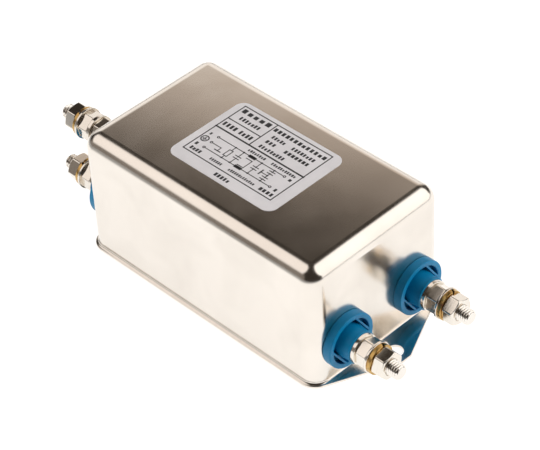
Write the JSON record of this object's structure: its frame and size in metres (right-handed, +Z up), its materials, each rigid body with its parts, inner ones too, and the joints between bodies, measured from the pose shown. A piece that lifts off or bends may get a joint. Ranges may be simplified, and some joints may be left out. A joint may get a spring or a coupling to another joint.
{
  "type": "mains interference filter",
  "caption": "Mains interference filter in a plated steel can with fixing ears, blue-insulated threaded stud terminals on both ends and an earth stud.",
  "frame": {"origin": "middle of the underside, where the flange rests", "axes": "+X towards the load end, +Z up out of the top face, +Y towards the neutral side"},
  "size_m": [0.172, 0.0684, 0.0536],
  "materials": {
    "can_plate": "satin tin plate",
    "label_film": "matt white with dark print",
    "sheet_insulation": "matt",
    "potting_resin": "semi-gloss cast resin",
    "ferrite": "matt grey-black",
    "case_plastic": "moulded",
    "winding_copper": "enamelled copper wire",
    "x_capacitor_plastic": "yellow moulded box",
    "y_capacitor_ceramic": "dipped coating",
    "resistor_coat": "lacquered",
    "tinned_brass": "tin plated",
    "nut_plate": "bright nickel plate, turned faces",
    "stud_plate": "bright nickel plate, rolled thread",
    "passivated_steel": "yellow passivated zinc",
    "insulator_plastic": "bright blue moulded plastic"
  },
  "bodies": {
    "filter": {"can": "can_plate", "label": "label_film", "base_cover": "can_plate", "base_insulation": "sheet_insulation", "potting": "potting_resin", "choke_core": "ferrite", "choke_case": "case_plastic", "choke_case_lid": "case_plastic", "choke_divider": "case_plastic", "winding_live": "winding_copper", "winding_neutral": "winding_copper", "x_capacitor_line": "x_capacitor_plastic", "x_capacitor_load": "x_capacitor_plastic", "y_capacitor_live": "y_capacitor_ceramic", "y_capacitor_neutral": "y_capacitor_ceramic", "earth_tags": "tinned_brass", "discharge_resistor": "resistor_coat", "solder_tags": "tinned_brass", "backing_nuts": "nut_plate", "plain_washers": "nut_plate", "clamp_nuts": "nut_plate", "earth_lock_washer": "passivated_steel", "earth_fixing_nut": "nut_plate", "insulator_line_live": "insulator_plastic", "inner_insulator_line_live": "insulator_plastic", "insulator_line_neutral": "insulator_plastic", "inner_insulator_line_neutral": "insulator_plastic", "insulator_load_live": "insulator_plastic", "inner_insulator_load_live": "insulator_plastic", "insulator_load_neutral": "insulator_plastic", "inner_insulator_load_neutral": "insulator_plastic", "stud_line_live": "stud_plate", "stud_line_neutral": "stud_plate", "stud_load_live": "stud_plate", "stud_load_neutral": "stud_plate", "stud_earth": "stud_plate"},
    "washers_line_live": {"flat_washer_line_live": "nut_plate", "lock_washer_line_live": "passivated_steel"},
    "nut_line_live": {"wire_nut_line_live": "nut_plate"},
    "washers_line_neutral": {"flat_washer_line_neutral": "nut_plate", "lock_washer_line_neutral": "passivated_steel"},
    "nut_line_neutral": {"wire_nut_line_neutral": "nut_plate"},
    "washers_load_live": {"flat_washer_load_live": "nut_plate", "lock_washer_load_live": "passivated_steel"},
    "nut_load_live": {"wire_nut_load_live": "nut_plate"},
    "washers_load_neutral": {"flat_washer_load_neutral": "nut_plate", "lock_washer_load_neutral": "passivated_steel"},
    "nut_load_neutral": {"wire_nut_load_neutral": "nut_plate"},
    "washers_earth": {"flat_washer_earth": "nut_plate", "lock_washer_earth": "passivated_steel"},
    "nut_earth": {"wire_nut_earth": "nut_plate"}
  },
  "joints": [
    {"name": "nut_lift_line_live", "type": "slide", "parent": "filter", "child": "washers_line_live", "axis": [-1, 0, 0], "range_m": [0, 0.008]},
    {"name": "nut_spin_line_live", "type": "hinge", "parent": "washers_line_live", "child": "nut_line_live", "pos_m": [-0.0789, -0.0182, 0.0164], "axis": [-1, 0, 0], "range_deg": [0, 2880]},
    {"name": "nut_lift_line_neutral", "type": "slide", "parent": "filter", "child": "washers_line_neutral", "axis": [-1, 0, 0], "range_m": [0, 0.008]},
    {"name": "nut_spin_line_neutral", "type": "hinge", "parent": "washers_line_neutral", "child": "nut_line_neutral", "pos_m": [-0.0789, 0.0182, 0.0164], "axis": [-1, 0, 0], "range_deg": [0, 2880]},
    {"name": "nut_lift_load_live", "type": "slide", "parent": "filter", "child": "washers_load_live", "axis": [1, 0, 0], "range_m": [0, 0.008]},
    {"name": "nut_spin_load_live", "type": "hinge", "parent": "washers_load_live", "child": "nut_load_live", "pos_m": [0.0789, -0.0182, 0.0164], "axis": [1, 0, 0], "range_deg": [0, 2880]},
    {"name": "nut_lift_load_neutral", "type": "slide", "parent": "filter", "child": "washers_load_neutral", "axis": [1, 0, 0], "range_m": [0, 0.008]},
    {"name": "nut_spin_load_neutral", "type": "hinge", "parent": "washers_load_neutral", "child": "nut_load_neutral", "pos_m": [0.0789, 0.0182, 0.0164], "axis": [1, 0, 0], "range_deg": [0, 2880]},
    {"name": "nut_lift_earth", "type": "slide", "parent": "filter", "child": "washers_earth", "axis": [-1, 0, 0], "range_m": [0, 0.008]},
    {"name": "nut_spin_earth", "type": "hinge", "parent": "washers_earth", "child": "nut_earth", "pos_m": [-0.0789, -0.0165, 0.04], "axis": [-1, 0, 0], "range_deg": [0, 2880]}
  ],
  "couplings": [
    {"joint": "nut_spin_line_live", "follows": "nut_lift_line_live", "rad_per_m": 6283.2},
    {"joint": "nut_spin_line_neutral", "follows": "nut_lift_line_neutral", "rad_per_m": 6283.2},
    {"joint": "nut_spin_load_live", "follows": "nut_lift_load_live", "rad_per_m": 6283.2},
    {"joint": "nut_spin_load_neutral", "follows": "nut_lift_load_neutral", "rad_per_m": 6283.2},
    {"joint": "nut_spin_earth", "follows": "nut_lift_earth", "rad_per_m": 6283.2}
  ]
}
